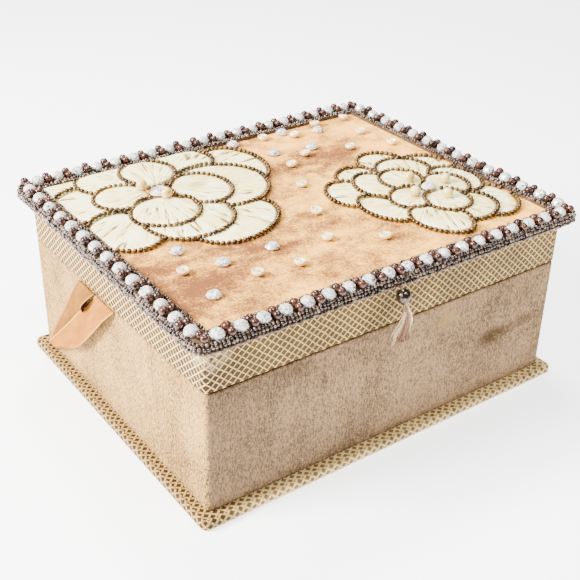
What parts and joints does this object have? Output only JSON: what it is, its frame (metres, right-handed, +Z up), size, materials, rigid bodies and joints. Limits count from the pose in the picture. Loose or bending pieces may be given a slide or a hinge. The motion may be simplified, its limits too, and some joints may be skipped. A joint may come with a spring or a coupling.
{
  "type": "jewellery box",
  "caption": "Velvet-covered jewellery box with a hinged beaded lid, satin flowers, a ribbon stay and a pull tassel.",
  "frame": {"origin": "centre of the base board's underside, on the table", "axes": "+X along the front wall to the right, +Y from the front to the hinged back, +Z up"},
  "size_m": [0.2136, 0.1825, 0.0998],
  "materials": {
    "velvet": "matt short pile",
    "lattice_fabric": "woven gold lattice",
    "lid_velvet": "crushed pile",
    "petal_satin": "soft satin",
    "bronze_beads": "metallic seed beads",
    "brown_beads": "glossy beads",
    "crystal": "faceted clear stones",
    "pearl": "pearl lustre",
    "sequin": "cream sheen",
    "gunmetal": "dark polished",
    "thread": "soft thread",
    "ribbon_satin": "peach satin"
  },
  "bodies": {
    "box": {"base_board": "lattice_fabric", "box_body": "velvet", "cloth_hinge": "velvet", "ribbon_stay": "ribbon_satin"},
    "lid": {"lid_skirt": "lattice_fabric", "lid_board": "lid_velvet", "beaded_border": "brown_beads", "large_flower_petals": "petal_satin", "small_flower_petals": "petal_satin", "large_flower_chains": "bronze_beads", "small_flower_chains": "bronze_beads", "large_flower_stone": "crystal", "small_flower_stone": "crystal", "large_flower_pearl_1": "pearl", "large_flower_pearl_2": "pearl", "small_flower_pearl_1": "pearl", "small_flower_pearl_2": "pearl", "small_flower_pearl_3": "pearl", "small_flower_pearl_4": "pearl", "crystal_1": "crystal", "crystal_2": "crystal", "crystal_3": "crystal", "crystal_4": "crystal", "crystal_5": "crystal", "crystal_6": "crystal", "crystal_7": "crystal", "crystal_8": "crystal", "crystal_9": "crystal", "sequin_1": "sequin", "sequin_2": "sequin", "sequin_3": "sequin", "sequin_4": "sequin", "sequin_5": "sequin", "sequin_6": "sequin", "sequin_7": "sequin", "sequin_8": "sequin", "sequin_9": "sequin", "sequin_10": "sequin", "sequin_11": "sequin", "sequin_12": "sequin", "sequin_13": "sequin", "sequin_14": "sequin", "sequin_15": "sequin", "sequin_16": "sequin", "pull_ball": "gunmetal", "tassel": "thread"}
  },
  "joints": [
    {"name": "lid_hinge", "type": "hinge", "parent": "box", "child": "lid", "pos_m": [0, 0.0817, 0.06565], "axis": [-1, 0, 0], "range_deg": [0, 105], "deforming": ["cloth_hinge", "ribbon_stay"]}
  ]
}
